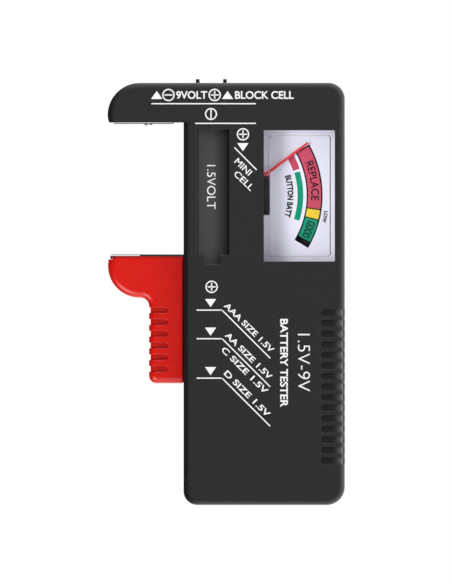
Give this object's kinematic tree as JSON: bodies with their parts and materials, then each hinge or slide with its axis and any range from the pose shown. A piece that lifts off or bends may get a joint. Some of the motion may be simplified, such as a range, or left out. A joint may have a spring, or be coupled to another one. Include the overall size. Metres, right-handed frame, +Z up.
{
  "type": "battery tester",
  "caption": "Hand-held analogue battery tester: upright case with a fixed arm, a sliding grip that clamps a cell under it, a needle meter behind a clear window and contact pins on top.",
  "frame": {"origin": "centre of the housing's flat bottom face, halfway between its front and back faces", "axes": "+Z up along the housing, from its base to the nine-volt pins; -Y out of the printed front face, towards the reader; +X to the reader's right, away from the battery jaw"},
  "size_m": [0.0618, 0.0251, 0.111],
  "materials": {
    "case_plastic": "matte",
    "grip_plastic": "satin",
    "plated_strip": "polished",
    "dark_pin": "satin",
    "screw_steel": "satin",
    "clear_plastic": "gloss",
    "meter_plastic": "matte",
    "dial_card": "satin",
    "brass": "satin",
    "bronze": "satin",
    "magnet_alloy": "satin",
    "soft_iron": "satin",
    "board_laminate": "satin",
    "resistor_ceramic": "matte",
    "resistor_lacquer": "satin",
    "black_lead": "satin",
    "red_lead": "satin",
    "needle_paint": "satin",
    "former_aluminium": "satin",
    "copper_wire": "gloss",
    "staff_steel": "gloss",
    "white_ink": "satin",
    "black_ink": "satin",
    "red_ink": "satin",
    "yellow_ink": "satin",
    "green_ink": "satin",
    "solder": "gloss"
  },
  "bodies": {
    "housing": {"front_cover": "case_plastic", "rear_cover": "case_plastic", "case_screws": "screw_steel", "contact_rail": "plated_strip", "nine_volt_negative_pin": "dark_pin", "nine_volt_positive_pin": "dark_pin", "meter_cover": "clear_plastic", "meter_base": "meter_plastic", "dial_plate": "dial_card", "dial_screws": "screw_steel", "needle_stops": "brass", "magnet_core": "magnet_alloy", "yoke_ring": "soft_iron", "front_bridge": "brass", "front_jewel_screw": "brass", "rear_jewel_screw": "brass", "front_hairspring": "bronze", "rear_hairspring": "bronze", "meter_terminals": "brass", "circuit_board": "board_laminate", "load_resistor": "resistor_ceramic", "series_resistor": "resistor_lacquer", "nine_volt_resistor": "resistor_lacquer", "negative_lead": "black_lead", "positive_lead": "red_lead", "nine_volt_negative_lead": "black_lead", "nine_volt_positive_lead": "red_lead"},
    "slider": {"slider_grip": "grip_plastic", "slider_contact_strip": "plated_strip", "wiper_spring": "bronze", "wiper_rivets": "brass"},
    "movement": {"needle": "needle_paint", "balance_weight": "brass", "coil_former": "former_aluminium", "coil_winding": "copper_wire", "pivot_staffs": "staff_steel"},
    "negative_contact": {"negative_contact_leaf": "plated_strip"}
  },
  "joints": [
    {"name": "slider_travel", "type": "slide", "parent": "housing", "child": "slider", "axis": [0, 0, 1], "range_m": [-0.029, 0.032]},
    {"name": "needle_swing", "type": "hinge", "parent": "housing", "child": "movement", "pos_m": [-0.0068, 0, 0.0807], "axis": [0, 1, 0], "range_deg": [0, 73], "stiffness_Nm_per_rad": 0.000001, "deforming": ["front_hairspring", "rear_hairspring"]},
    {"name": "negative_contact_flex", "type": "hinge", "parent": "housing", "child": "negative_contact", "pos_m": [-0.0237, 0, 0.101], "axis": [0, 1, 0], "range_deg": [0, 3.5], "stiffness_Nm_per_rad": 0.1, "deforming": ["negative_lead"]}
  ]
}
